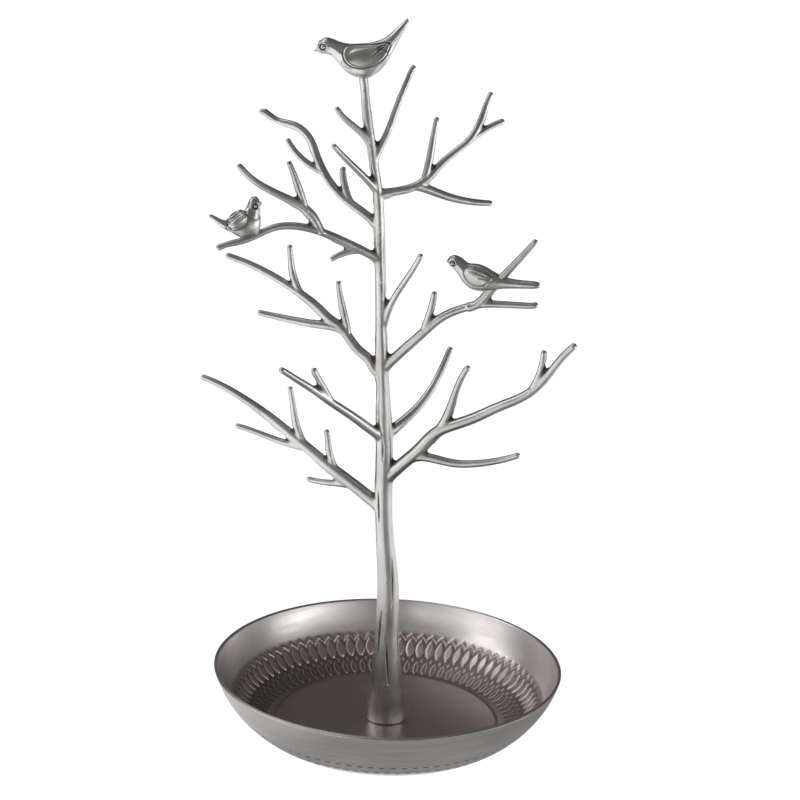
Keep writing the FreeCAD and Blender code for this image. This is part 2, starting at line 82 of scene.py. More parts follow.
class Finish:
    # a material or the world, filled node by node
    def __init__(self, owner):
        self.owner = owner
        owner.use_nodes = True
        self.tree = owner.node_tree
        self.tree.nodes.clear()

    def add(self, kind, settings=None, sockets=None, out=0):
        node = self.tree.nodes.new(kind)
        for key, value in (settings or {}).items():
            setattr(node, key, value)
        for key, value in (sockets or {}).items():
            socket = node.inputs[key]
            if isinstance(value, Wire):
                self.tree.links.new(value.socket, socket)
            elif socket.type == "RGBA" and len(value) == 3:
                socket.default_value = (*value, 1)
            else:
                socket.default_value = value
        return Wire(self, node.outputs[out]) if len(node.outputs) else node

    def mixColor(self, mask, low, high):
        return self.add("ShaderNodeMix", {"data_type": "RGBA"}, {0: mask, 6: low, 7: high}, 2)

    def ramp(self, value, low, high):
        # 0 below low, 1 above high, smooth between
        kind = {"interpolation_type": "SMOOTHSTEP"}
        return self.add("ShaderNodeMapRange", kind, {0: value, 1: low, 2: high})

    def places(self, stretch=(1, 1, 1)):
        coords = self.add("ShaderNodeTexCoord", out=3)
        return self.add("ShaderNodeVectorMath", {"operation": "MULTIPLY"}, {0: coords, 1: stretch})

    def noise(self, vector, scale, detail, rough=0.5):
        sockets = {"Vector": vector, "Scale": scale, "Detail": detail, "Roughness": rough}
        return self.add("ShaderNodeTexNoise", None, sockets)

    def mark(self, name):
        return self.add("ShaderNodeAttribute", {"attribute_name": name}, out=2)

    def bump(self, height, depth, strength):
        return self.add("ShaderNodeBump", None, {"Strength": strength, "Distance": depth, "Height": height})

    def surface(self, **sockets):
        named = {key.replace("_", " "): value for key, value in sockets.items()}
        shader = self.add("ShaderNodeBsdfPrincipled", None, named)
        self.add("ShaderNodeOutputMaterial", None, {"Surface": shader})
        return self.owner


def newFinish(name):
    return Finish(bpy.data.materials.new(name))


# mesh helpers

def meshArrays(node):
    mesh = cadNodes[node].data
    points = np.empty(len(mesh.vertices) * 3, np.float32)
    mesh.vertices.foreach_get("co", points)
    mesh.calc_loop_triangles()
    corners = np.empty(len(mesh.loop_triangles) * 3, np.int32)
    mesh.loop_triangles.foreach_get("vertices", corners)
    return points.reshape(-1, 3).astype(float) / mm, corners.reshape(-1, 3)


def joinedArrays(names):
    points, faces, count = [], [], 0
    for name in names:
        nodePoints, nodeFaces = meshArrays(name)
        points.append(nodePoints)
        faces.append(nodeFaces + count)
        count += len(nodePoints)
    return np.concatenate(points), np.concatenate(faces)


def levelSet(points, faces, voxel, band):
    kind = "triangles" if faces.shape[1] == 3 else "quads"
    shape = {kind: faces.astype(np.uint32)}
    grid = openvdb.createLinearTransform(voxelSize=voxel)
    return openvdb.FloatGrid.createLevelSetFromPolygons(points=points.astype(np.float32), transform=grid,
                                                        halfWidth=band, **shape)


def facingOut(points, faces):
    # turned over where the volume inside comes out negative
    a, b, c, d = (points[faces[:, i]] for i in range(4))
    volume = (np.cross(a, b) * c).sum() + (np.cross(a, c) * d).sum()
    return faces if volume > 0 else faces[:, ::-1]


def closedSkin(names, voxel, radius):
    # grown by the radius and shrunk back, which rounds every inner corner and fuses what meets
    spareVoxels = 3
    points, faces = joinedArrays(names)
    for level in (radius, -radius):
        grid = levelSet(points, faces, voxel, radius / voxel + spareVoxels)
        points, faces = grid.convertToQuads(isovalue=level)
    points = points.astype(float)
    return points, facingOut(points, faces.astype(np.int64))


def edgeList(faces):
    edges = np.concatenate([faces[:, [i, (i + 1) % 4]] for i in range(4)])
    return np.unique(np.sort(edges, axis=1), axis=0)


def neighbourMean(values, edges):
    count = len(values)
    total = np.zeros_like(values)
    for here, there in ((0, 1), (1, 0)):
        for axis in range(values.shape[1]):
            total[:, axis] += np.bincount(edges[:, here], values[edges[:, there], axis], count)
    degree = np.bincount(edges.ravel(), minlength=count)
    return total / np.maximum(degree, 1)[:, None]


def smoothed(points, edges, rounds, share=1.0):
    # pairs of steps that take out ripple and keep the volume
    inward, outward = 0.5, -0.53
    for step in (inward, outward) * rounds:
        points = points + step * share * (neighbourMean(points, edges) - points)
    return points


def blurred(values, edges, rounds, pull=0.5):
    # one value per point, drawn towards the mean of its neighbours
    for i in range(rounds):
        values = (1 - pull) * values + pull * neighbourMean(values[:, None], edges)[:, 0]
    return values


def vertexNormals(points, faces):
    across = np.cross(points[faces[:, 2]] - points[faces[:, 0]], points[faces[:, 3]] - points[faces[:, 1]])
    normals = np.zeros_like(points)
    for corner in range(4):
        for axis in range(3):
            normals[:, axis] += np.bincount(faces[:, corner], across[:, axis], len(points))
    return normals / np.maximum(np.linalg.norm(normals, axis=1), tiny)[:, None]


def ringFaces(rings, around, closed=False):
    # quads from each ring of points to the next, and from the last to the first where closed
    ring, step = np.meshgrid(np.arange(rings if closed else rings - 1), np.arange(around), indexing="ij")
    above, beside = (ring + 1) % rings, (step + 1) % around
    corners = [ring * around + step, ring * around + beside, above * around + beside, above * around + step]
    return np.stack(corners, -1).reshape(-1, 4)


def smoothStep(low, high, value):
    t = np.clip((value - low) / (high - low), 0, 1)
    return t * t * (3 - 2 * t)


def stroke(gap, width):
    # 1 on a line, fading out to both sides of it
    return np.exp(-(gap / width) ** 2)


def newPiece(name, points, faces, marks=None, normals=None, capped=False):
    mesh = bpy.data.meshes.new(name)
    mesh.from_pydata((points * mm).tolist(), [], faces.tolist())
    for key, values in (marks or {}).items():
        mesh.attributes.new(key, "FLOAT", "POINT").data.foreach_set("value", values.astype(np.float32))
    if capped:  # close the cut ends, which stay hidden inside the joint
        cut = bmesh.new()
        cut.from_mesh(mesh)
        rims = [edge for edge in cut.edges if edge.is_boundary]
        lids = bmesh.ops.holes_fill(cut, edges=rims)["faces"]
        bmesh.ops.triangulate(cut, faces=lids)
        cut.to_mesh(mesh)
        cut.free()
    mesh.shade_smooth()
    if normals is not None:
        mesh.normals_split_custom_set_from_vertices(normals.tolist())
    piece = bpy.data.objects.new(name, mesh)
    bpy.context.scene.collection.objects.link(piece)
    return piece


def dress(piece, body, slot, finish, *nodes):
    piece.data.materials.clear()
    piece.data.materials.append(finish)
    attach(piece, body)
    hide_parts(*nodes)


# finishes

def treeFinish():
    look = dict(bright=(0.66, 0.655, 0.64), dull=(0.50, 0.495, 0.48), patina=(0.060, 0.050, 0.044),
                cloudScale=55, pitScale=420, grainScale=1500, grainStretch=(1, 1, 0.12), relief=0.00006)
    f = newFinish("treeMetal")
    spots = f.places()
    cloud = f.ramp(f.noise(spots, look["cloudScale"], 3), 0.35, 0.65)
    grain = f.noise(f.places(look["grainStretch"]), look["grainScale"], 3, 0.6)  # satin lines along the stem
    pits = f.noise(spots, look["pitScale"], 4, 0.6)
    dirt = f.ramp(f.mark("crease") + 0.35 * (pits - 0.5), 0.12, 0.95)
    metal = f.mixColor(cloud, look["dull"], look["bright"])
    color = f.mixColor(dirt * 0.93, metal, look["patina"])
    rough = 0.24 + 0.10 * grain + 0.06 * cloud + 0.30 * dirt
    normal = f.bump(0.6 * pits + 0.4 * grain, look["relief"], 0.5)
    return f.surface(Base_Color=color, Metallic=1.0, Roughness=rough, Normal=normal)


def birdFinish():
    look = dict(bright=(0.68, 0.675, 0.66), dull=(0.50, 0.495, 0.485), patina=(0.050, 0.045, 0.041),
                cloudScale=120, pitScale=900, relief=0.00005)
    f = newFinish("birdMetal")
    spots = f.places()
    cloud = f.ramp(f.noise(spots, look["cloudScale"], 3), 0.35, 0.65)
    pits = f.noise(spots, look["pitScale"], 4, 0.6)
    dirt = f.ramp(f.mark("crease") + 0.3 * (pits - 0.5), 0.1, 0.9)
    metal = f.mixColor(cloud, look["dull"], look["bright"])
    color = f.mixColor(dirt * 0.95, metal, look["patina"])
    rough = 0.25 + 0.10 * pits + 0.25 * dirt
    normal = f.bump(pits, look["relief"], 0.5)
    return f.surface(Base_Color=color, Metallic=1.0, Roughness=rough, Normal=normal)


def dishFinish():
    look = dict(upper=(0.73, 0.698, 0.69), band=(0.46, 0.395, 0.385), outside=(0.57, 0.555, 0.545),
                worn=(0.33, 0.315, 0.31), patina=(0.070, 0.056, 0.052),
                bandTop=(0.0155, 0.0175),  # heights between which the brown band ends
                brushScale=4.0, streakScale=3.0, cloudScale=26, relief=0.00005)
    f = newFinish("dishMetal")
    spots = f.places()
    radius = f.add("ShaderNodeVectorMath", {"operation": "LENGTH"}, {0: f.places((1, 1, 0))}, 1)
    heading = f.add("ShaderNodeVectorMath", {"operation": "NORMALIZE"}, {0: f.places((1, 1, 0))})
    height = f.add("ShaderNodeSeparateXYZ", None, {0: spots}, 2)

    def rings(fine, along):
        lift = f.add("ShaderNodeCombineXYZ", None, {2: (radius + height) * fine})
        return f.add("ShaderNodeVectorMath", {"operation": "MULTIPLY_ADD"},
                     {0: heading, 1: (along, along, 0), 2: lift})

    brush = f.noise(rings(260, 2.2), look["brushScale"], 4, 0.65)  # fine rings left by the polishing wheel
    broad = f.noise(rings(120, 0.8), look["streakScale"], 3, 0.6)
    streak = f.ramp(broad, 0.38, 0.66)  # broader cloudy rings
    cloud = f.ramp(f.noise(spots, look["cloudScale"], 3), 0.35, 0.65)
    inside = f.mark("inside")
    crease = f.mark("crease")
    within = f.mixColor(f.ramp(height, *look["bandTop"]), look["band"], look["upper"])
    metal = f.mixColor(inside, look["outside"], within)
    worn = f.mixColor(0.10 * cloud + 0.14 * brush + 0.20 * streak * (1.2 - inside), metal, look["worn"])
    # the crease mark darkens the petal outlines with patina and the dents on the outside with painted shade
    color = f.mixColor(crease * 0.85, worn, look["patina"])
    rough = 0.25 + 0.10 * brush + 0.05 * cloud + 0.06 * streak + 0.2 * crease
    normal = f.bump(brush, look["relief"], 0.45)
    return f.surface(Base_Color=color, Metallic=1.0, Roughness=rough, Normal=normal)


def fixingFinish():
    look = dict(bright=(0.68, 0.68, 0.66), dull=(0.50, 0.50, 0.49), cloudScale=900, relief=0.00003)
    f = newFinish("fixingSteel")
    cloud = f.noise(f.places(), look["cloudScale"], 3)
    color = f.mixColor(cloud, look["dull"], look["bright"])
    rough = 0.30 + 0.18 * cloud
    normal = f.bump(cloud, look["relief"], 0.5)
    return f.surface(Base_Color=color, Metallic=1.0, Roughness=rough, Normal=normal)


def padFinish():
    look = dict(rubber=(0.020, 0.020, 0.021), dusty=(0.065, 0.064, 0.062), grainScale=2400, dustScale=60,
                relief=0.00015)
    f = newFinish("padRubber")
    spots = f.places()
    grain = f.noise(spots, look["grainScale"], 3, 0.7)
    dust = f.ramp(f.noise(spots, look["dustScale"], 3), 0.45, 0.75)
    color = f.mixColor(0.6 * dust + 0.3 * grain, look["rubber"], look["dusty"])
    rough = 0.72 + 0.16 * grain
    return f.surface(Base_Color=color, Roughness=rough, Normal=f.bump(grain, look["relief"], 0.6))


# tree: trunk and branches fused into one skin, then parted again at the joints

tree = dict(
    trunk="trunk",
    branches=["crown_twig_left", "crown_twig_right", "upper_left_twig", "upper_left_branch",
              "left_perch_branch", "middle_left_branch", "lower_left_branch", "lowest_left_branch",
              "upper_right_branch", "right_twig", "right_perch_branch", "inner_right_branch",
              "lowest_right_branch"],
    voxel=0.3,
    fillet=1.1,  # radius in the upper corners of the forks
    underFillet=6.0,  # radius under each branch, where it flows into what carries it
    underMost=1.5,  # most that the under side is filled
    underLean=(0.35, -0.25),  # upward lean of the skin where that fill starts and where it is whole
    skinRounds=6, cornerRounds=6, fillRounds=36, lastRounds=8,  # rounds of smoothing, in their order
    reach=4.0, boxMargin=3.0,  # how far off its solid a point of the skin may lie
    voteRounds=8, ownVote=0.6,
    axisFrom=2.0, axisStep=4.0, axisWindow=3.0,  # slices that find the middle of the trunk
    creaseFrom=0.08,  # how thick a corner is filled before it goes dark, and where it is darkest
    creaseFull=0.45,
    creaseShare=0.9, underClean=0.85,
    spreadRounds=40, spreadPull=0.6, spreadGain=3.4,  # spread the dark tone out of the corners
    grooveDepth=0.65, grooveKeep=1.5,
    grooveLeast=0.05, grooveTaper=0.6, grooveRound=1.2, grooveFade=0.5,  # shape of a groove's ends and floor
    # height and turn from the front of each groove's lower and upper end, and its width
    grooves=[(126.5, 136.5, -10, -10, 0.9), (97, 114, -34, -40, 1.1), (58, 82, 22, 34, 1.3),
             (31, 57.5, -50, -34, 1.5), (21, 46, 8, -4, 1.5), (24, 52, 78, 66, 1.5), (60, 86, 92, 80, 1.3),
             (100, 120, 74, 82, 1.1), (28, 58, 126, 138, 1.5), (66, 94, 150, 142, 1.3),
             (104, 128, 172, 166, 1.1), (30, 62, -98, -110, 1.5), (70, 96, -122, -112, 1.3),
             (22, 48, -150, -160, 1.5), (58, 84, -172, -162, 1.3), (106, 130, -118, -126, 1.1)],
)


def nearestNode(points, names):
    # which solid each point of the skin belongs to, and how far it stands off it
    owner = np.zeros(len(points), int)
    away = np.full(len(points), np.inf)
    for index, name in enumerate(names):
        nodePoints, nodeFaces = meshArrays(name)
        low, high = nodePoints.min(0) - tree["boxMargin"], nodePoints.max(0) + tree["boxMargin"]
        near = np.nonzero(((points > low) & (points < high)).all(1))[0]
        solid = BVHTree.FromPolygons(nodePoints.tolist(), nodeFaces.tolist())
        for i in near:
            distance = solid.find_nearest(points[i], tree["reach"])[3]
            if distance is not None and distance < away[i]:
                owner[i], away[i] = index, distance
    return owner, away


def agreedOwner(owner, edges, kinds):
    # neighbours vote, so that each joint is one clean line
    for i in range(tree["voteRounds"]):
        votes = np.eye(kinds)[owner]
        owner = (tree["ownVote"] * votes + neighbourMean(votes, edges)).argmax(1)
    return owner


def trunkAxis(points):
    heights = np.arange(points[:, 2].min() + tree["axisFrom"], points[:, 2].max(), tree["axisStep"])
    middles = []
    for z in heights:
        ring = points[np.abs(points[:, 2] - z) < tree["axisWindow"]]
        middles.append((ring.min(0) + ring.max(0)) / 2 if len(ring) else middles[-1])
    middles = np.array(middles)
    return lambda z: (np.interp(z, heights, middles[:, 0]), np.interp(z, heights, middles[:, 1]))


def grooveDepth(points, onTrunk):
    sideX, sideY = trunkAxis(meshArrays(tree["trunk"])[0])(points[:, 2])
    dx, dy = points[:, 0] - sideX, points[:, 1] - sideY
    turn = np.degrees(np.arctan2(dx, -dy))
    radius = np.hypot(dx, dy)
    depth = np.zeros(len(points))
    for low, high, lowTurn, highTurn, width in tree["grooves"]:
        t = (points[:, 2] - low) / (high - low)
        inside = onTrunk & (t > 0) & (t < 1)
        bow = np.sin(np.pi * np.clip(t, 0, 1))
        off = (turn - (lowTurn + (highTurn - lowTurn) * t) + 180) % 360 - 180
        half = width / 2 * np.maximum(bow, tree["grooveLeast"]) ** tree["grooveTaper"]
        across = np.radians(off) * radius / half
        cut = np.clip(1 - across ** 2, 0, 1) ** tree["grooveRound"] * bow ** tree["grooveFade"]
        depth = np.maximum(depth, np.where(inside, cut, 0))
    return depth


def cornerDepth(points, normals, names, edges):
    # how far each point lies below a skin with much larger fillets
    wide = closedSkin(names, 2 * tree["voxel"], tree["underFillet"])
    cover = BVHTree.FromPolygons(wide[0].tolist(), wide[1].tolist())
    depth = np.zeros(len(points))
    for i in range(len(points)):
        way = Vector(normals[i])
        spot, side, index, gap = cover.ray_cast(Vector(points[i]), way, tree["underFillet"])
        if spot is not None and side.dot(way) > 0:
            depth[i] = gap
    return blurred(depth, edges, tree["cornerRounds"])


def makeTree(finish):
    names = [tree["trunk"]] + tree["branches"]
    points, faces = closedSkin(names, tree["voxel"], tree["fillet"])
    edges = edgeList(faces)
    points = smoothed(points, edges, tree["skinRounds"])
    owner, away = nearestNode(points, names)
    owner = agreedOwner(owner, edges, len(names))
    normals = vertexNormals(points, faces)
    depth = cornerDepth(points, normals, names, edges)
    under = smoothStep(*tree["underLean"], normals[:, 2])
    under = under * smoothStep(tree["underMost"], tree["underMost"] / 2, depth)
    fill = blurred(depth * under, edges, tree["fillRounds"])
    groove = grooveDepth(points, owner == 0)
    points = points + normals * (fill - groove * tree["grooveDepth"])[:, None]
    plain = np.clip(1 - tree["grooveKeep"] * groove, 0, 1)
    points = smoothed(points, edges, tree["lastRounds"], plain[:, None])
    normals = vertexNormals(points, faces)
    corner = smoothStep(tree["creaseFrom"], tree["creaseFull"], away) * (1 - tree["underClean"] * under)
    spread = tree["spreadGain"] * blurred(corner, edges, tree["spreadRounds"], tree["spreadPull"])
    crease = np.clip(np.maximum(tree["creaseShare"] * np.maximum(corner, groove), spread), 0, 1)
    faceOwner = np.sort(owner[faces], axis=1)[:, 1]
    for index, name in enumerate(names):
        part = faces[faceOwner == index]
        used, local = np.unique(part, return_inverse=True)
        piece = newPiece(name + "_cast", points[used], local.reshape(-1, 4), {"crease": crease[used]},
                         normals[used], capped=True)
        dress(piece, "tree", "tree_metal", finish, name)
    print("tree:", len(points), "points in", len(names), "pieces")


# birds: each is a skin over its solid, with wing, feathers and eyes pressed in from the side view

birds = dict(
    bird_top=dict(
        length=38.0, spanPx=91.5, perchPx=(364.5, 75.0), facing=1, tilt=2.0, lines=1.0,
        place=(-18.618, 0.0, 294.8), outTurn=0.0, eyePx=(324.5, 44.0), eyeRingPx=3.0,
        wingPx=[(349.5, 42.6), (346, 45.5), (344.6, 50), (346.6, 56.8), (352.4, 62.2), (361, 64.2),
                (371.5, 62.4), (381.5, 57.4), (388.5, 50), (392.5, 39.2), (382, 41.2), (364, 42.2)],
        creasesPx=[[(374, 51), (379.5, 47.6), (385, 44)], [(375, 50), (379.5, 46.4), (385, 43.6)],
                   [(379, 44.4), (385.5, 41.8), (391.5, 38.8)]],
        mouthPx=[(317, 48.4), (322, 47.6)],
    ),
    bird_right=dict(
        length=38.6, spanPx=91.0, perchPx=(486.0, 290.0), facing=1, tilt=5.5, lines=0.6,
        place=(35.782, -11.409, 207.51), outTurn=-15.0, eyePx=(454.5, 261.5), eyeRingPx=2.8,
        wingPx=[(467.5, 265.5), (466.5, 270), (468.5, 276), (473, 281), (478, 283), (485, 282.5), (490, 280),
                (496, 276.5), (491, 271.5), (484, 267.5), (476, 264.8)],
        creasesPx=[[(482, 274.5), (488, 275.4), (494, 276.2)], [(486, 271.8), (490, 273.4), (493, 274.8)]],
        mouthPx=[(448, 260.6), (452, 260.4)],
    ),
    bird_left=dict(
        length=20.4, spanPx=49.0, perchPx=(244.0, 238.0), facing=-1, tilt=2.0, lines=0.8,
        place=(-65.935, -18.461, 228.97), outTurn=198.0, eyePx=(252.3, 204.5), eyeRingPx=2.4,
        wingPx=[(243.6, 210.5), (244.4, 219), (240.4, 224.5), (233, 228.8), (226.6, 229), (224, 226),
                (226.4, 221.3), (234, 214.8), (240.6, 210.6)],
        creasesPx=[[(229, 227.4), (226, 225.6), (224.4, 223.4)]],
        mouthPx=[(260, 203.4), (257, 203.6)],
    ),
)

birdForm = dict(
    voxel=0.17, fillet=1.0, skinRounds=14,
    flank=(0.12, 0.45),  # sideways lean of the skin where the pressed forms start and where they are whole
    # where each form lies off the wing's outline or the eye, and its width, in pixels
    wingEdgePx=(-0.5, 1.2), borderPx=0.8, borderWidePx=0.55, ribPx=1.3, ribWidePx=0.8, featherWidePx=0.6,
    mouthWidePx=0.45, socketWidePx=0.7, ballPx=1.7, lidPx=1.6, lidWidePx=0.8,
    # rise and drop of each form in pixels, and how dark it is
    wingRise=0.40, ribRise=0.40, borderDrop=0.70, featherDrop=0.70, ballRise=0.5, lidRise=0.3, socketDrop=0.6,
    mouthDrop=0.4, borderDark=0.8, featherDark=0.9, socketDark=1.1, mouthDark=0.7,
    deepestShare=0.15, rayStart=0.02, rayReach=20.0,  # no form is deeper than a share of the thickness
)


def segmentGap(spots, line, closed=False):
    # least distance from each spot to a line of points, with the sign of an outline's inside
    ends = line[1:] + line[:1] if closed else line[1:]
    gap = np.full(len(spots), np.inf)
    crossings = np.zeros(len(spots), int)
    for (x0, y0), (x1, y1) in zip(line, ends):
        dx, dy = x1 - x0, y1 - y0
        t = np.clip(((spots[:, 0] - x0) * dx + (spots[:, 1] - y0) * dy) / (dx * dx + dy * dy), 0, 1)
        gap = np.minimum(gap, np.hypot(spots[:, 0] - x0 - t * dx, spots[:, 1] - y0 - t * dy))
        rising = (y0 > spots[:, 1]) != (y1 > spots[:, 1])
        meet = x0 + (spots[:, 1] - y0) * dx / (dy if abs(dy) > tiny else tiny)
        crossings += rising & (spots[:, 0] < meet)
    return np.where(crossings % 2 == 1, gap, -gap) if closed else gap


def roundedLine(line, rounds=2):
    # corner cutting on a closed outline
    near, far = 0.75, 0.25
    for i in range(rounds):
        cut = []
        for (x0, y0), (x1, y1) in zip(line, line[1:] + line[:1]):
            cut.append((near * x0 + far * x1, near * y0 + far * y1))
            cut.append((far * x0 + near * x1, far * y0 + near * y1))
        line = cut
    return line


def sideView(spec, points, scale):
    # where each point lies in the bird's side view, and the way that its flank faces
    outTurn, tilt = math.radians(spec["outTurn"]), math.radians(spec["tilt"])
    out, lift = np.array([math.cos(outTurn), math.sin(outTurn), 0]), np.array([0, 0, 1.0])
    back = out * math.cos(tilt) + lift * math.sin(tilt)
    rise = lift * math.cos(tilt) - out * math.sin(tilt)
    local = points - np.array(spec["place"])
    across = spec["perchPx"][0] + spec["facing"] * (local @ back) / scale
    down = spec["perchPx"][1] - (local @ rise) / scale
    return np.stack([across, down], 1), np.cross(back, rise)


def makeBird(name, finish):
    spec, form = birds[name], birdForm
    lines, ring, scale = spec["lines"], spec["eyeRingPx"], spec["length"] / spec["spanPx"]
    points, faces = closedSkin([name], form["voxel"], form["fillet"])
    points = smoothed(points, edgeList(faces), form["skinRounds"])
    spots, flank = sideView(spec, points, scale)
    normals = vertexNormals(points, faces)
    facing = smoothStep(*form["flank"], np.abs(normals @ flank))
    wing = segmentGap(spots, roundedLine(spec["wingPx"]), closed=True)
    raised = smoothStep(*form["wingEdgePx"], wing)
    border = stroke(wing + form["borderPx"], form["borderWidePx"])
    rib = stroke(wing - form["ribPx"], form["ribWidePx"])
    feather = np.maximum.reduce([stroke(segmentGap(spots, line), form["featherWidePx"])
                                 for line in spec["creasesPx"]])
    mouth = stroke(segmentGap(spots, spec["mouthPx"]), form["mouthWidePx"])
    eye = np.hypot(*(spots - np.array(spec["eyePx"])).T)
    socket = stroke(eye - ring, form["socketWidePx"])
    ball = np.clip(1 - (eye / form["ballPx"]) ** 2, 0, 1) ** 0.5
    lid = stroke(eye - ring - form["lidPx"], form["lidWidePx"])
    height = form["wingRise"] * raised + form["ribRise"] * rib
    height += form["ballRise"] * ball + form["lidRise"] * lid
    height -= form["borderDrop"] * border + form["featherDrop"] * lines * feather
    height -= form["socketDrop"] * socket + form["mouthDrop"] * mouth
    dark = lines * (form["borderDark"] * border + form["featherDark"] * feather)
    dark += form["socketDark"] * socket + form["mouthDark"] * mouth
    skin = BVHTree.FromPolygons(points.tolist(), faces.tolist())
    reach = form["rayReach"]
    room = np.array([skin.ray_cast(Vector(spot - form["rayStart"] * way), Vector(-way), reach)[3] or reach
                     for spot, way in zip(points, normals)])  # how thick the bird is under each point
    press = np.maximum(height * facing * scale, -form["deepestShare"] * room)
    points = points + normals * press[:, None]
    crease = np.clip(dark, 0, 1) * facing
    piece = newPiece(name + "_cast", points, faces, {"crease": crease}, vertexNormals(points, faces))
    dress(piece, "tree", "bird_metal", finish, name)
    print(name + ":", len(points), "points")


# dish: one pressed sheet, turned from its section and embossed with a band of petals

dish = dict(
    sheet=1.2, footRadius=54.0, middleRadius=69.6, middleHeight=15.0, footHeight=1.5, footEase=0.5,
    floorRadius=48.0, floorRise=1.9, slopeFrom=41.0,
    bossRadius=7.0, bossTopRadius=5.2, bossRise=2.4, holeRadius=2.3,
    lipSteps=6, lipShare=0.42,  # the rounded rim
    bendStep=0.4, wallStep=0.35, bendRounds=6,  # spacing of the section's points, and softening of its bends
    petalStep=0.3, bendRingStep=0.5, plainStep=1.4,  # spacing of the rings that are kept
    bandTop=17.5, bossEdge=9.0, channelMiddle=49.0, channelReach=3.0,
    petals=86, stepsPerPetal=12, peakTurn=85.0,  # a peak stands just right of the back
    zigzagPeak=15.6, zigzagDrop=2.0, zigzagBend=1.15, zigzagWidth=0.75, zigzagHeight=0.42,
    zigzagFade=(0.1, 0.9),
    petalLow=7.5, petalHigh=14.3, petalWidth=0.455, petalHeight=0.50, petalEdge=(-0.05, 0.7),
    petalLine=(-0.12, 0.22), petalDark=0.85, petalLean=0.85, petalRound=0.75,
    dotHeight=6.75, dotRadius=0.62, dotRise=0.26, dotRim=0.22, dotRimWidth=0.22,
    leafLow=2.5, leafHigh=6.5, leafWidth=0.33, leafRise=0.26, leafEdge=(-0.05, 0.5), leafFade=0.6,
    leafRim=0.30, leafRimWidth=0.26, leafRimShare=0.7,
    throughShare=0.6,  # how much of the petals shows on the outside
    dashRows=[(10.0, 0.0), (6.5, 0.5)], dashTall=0.55, dashWide=1.3,  # dents on the outside, darkened with painted shade
    dashFade=(1.25, 0.7), dashDepth=0.35, dashShade=0.9,
)


def dishSection():
    # the sheet's underside from the screw hole out to the rim, with its bends rounded
    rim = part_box("dish")[1] / mm
    under = dish["footHeight"] + dish["floorRise"]
    boss = under + dish["bossRise"]
    bends = [(dish["holeRadius"], boss), (dish["bossTopRadius"], boss),
             (dish["bossRadius"] - dish["sheet"], under), (dish["floorRadius"], under),
             (dish["floorRadius"] + dish["floorRise"], dish["footHeight"]),
             (dish["footRadius"], dish["footHeight"])]
    start, mid = np.array(bends[-1]), np.array([dish["middleRadius"], dish["middleHeight"]])
    stop = np.array([rim.x, rim.z])
    lines = np.array([2 * (mid - start), 2 * (stop - start)])
    centre = np.linalg.solve(lines, np.array([mid @ mid - start @ start, stop @ stop - start @ start]))
    swing = np.linalg.norm(start - centre)
    first = math.atan2(*(start - centre)[::-1])
    last = math.atan2(*(stop - centre)[::-1])
    path = []
    for (r0, z0), (r1, z1) in zip(bends, bends[1:]):
        count = max(2, math.ceil(math.hypot(r1 - r0, z1 - z0) / dish["bendStep"]))
        path += [(r0 + (r1 - r0) * i / count, z0 + (z1 - z0) * i / count) for i in range(count)]
    count = math.ceil(swing * (last - first) / dish["wallStep"])
    for i in range(count + 1):
        turn = first + (last - first) * i / count
        path.append((centre[0] + swing * math.cos(turn), centre[1] + swing * math.sin(turn)))
    path = np.array(path)
    for i in range(dish["bendRounds"]):
        path[1:-1] = 0.5 * path[1:-1] + 0.25 * (path[:-2] + path[2:])
    along = np.gradient(path, axis=0)
    along /= np.linalg.norm(along, axis=1)[:, None]
    return path, np.stack([-along[:, 1], along[:, 0]], 1)


def thinned(path):
    # fewer rings on the plain floor, all of them where the petals are
    keep = [0]
    for i in range(1, len(path) - 1):
        r, z = path[i]
        onBand = r > dish["footRadius"] - 2 * dish["footEase"] and z < dish["bandTop"]
        step = dish["petalStep"] if onBand else dish["plainStep"]
        if r < dish["bossEdge"] or abs(r - dish["channelMiddle"]) < dish["channelReach"]:
            step = dish["bendRingStep"]
        if np.hypot(*(path[i] - path[keep[-1]])) >= step:
            keep.append(i)
    return keep + [len(path) - 1]


def petalRelief(height, phase, radius):
    # how far each point of the inner wall is pressed up, and how deep in an outline it lies
    pitch = 2 * math.pi * radius / dish["petals"]
    side = np.abs(phase)  # 0 on a petal's middle, 0.5 between two petals
    ridgeLine = dish["zigzagPeak"] - dish["zigzagDrop"] * (2 * side) ** dish["zigzagBend"]
    ridge = stroke(height - ridgeLine, dish["zigzagWidth"])

    def leaf(low, high, width):
        # how far inside a pointed outline each point lies
        t = np.clip((height - low) / (high - low), 0, 1)
        half = width * np.sin(np.pi * t ** dish["petalLean"]) ** dish["petalRound"]
        return np.minimum((half - side) * pitch, np.minimum(height - low, high - height))

    petal = leaf(dish["petalLow"], dish["petalHigh"], dish["petalWidth"])
    small = leaf(dish["leafLow"], dish["leafHigh"], dish["leafWidth"])
    dot = dish["dotRadius"] - np.hypot((0.5 - side) * pitch, height - dish["dotHeight"])
    # the lower leaves and the dots are raised outlines
    smallRim = stroke(small - dish["leafRim"], dish["leafRimWidth"])
    dotRim = stroke(dot - dish["dotRim"], dish["dotRimWidth"])
    smallTop = smoothStep(*dish["leafEdge"], small)
    relief = dish["zigzagHeight"] * ridge + dish["petalHeight"] * smoothStep(*dish["petalEdge"], petal)
    relief += dish["leafRise"] * (smallTop + dish["leafRimShare"] * (smallRim - smallTop))
    relief += dish["dotRise"] * dotRim
    overFoot = smoothStep(dish["leafLow"] - dish["leafFade"], dish["leafLow"], height)
    underRidge = 1 - smoothStep(*dish["zigzagFade"], height - ridgeLine)
    raised = np.maximum.reduce([smoothStep(*dish["petalLine"], petal), smallRim, dotRim, ridge])
    return relief, overFoot * underRidge * (1 - raised)


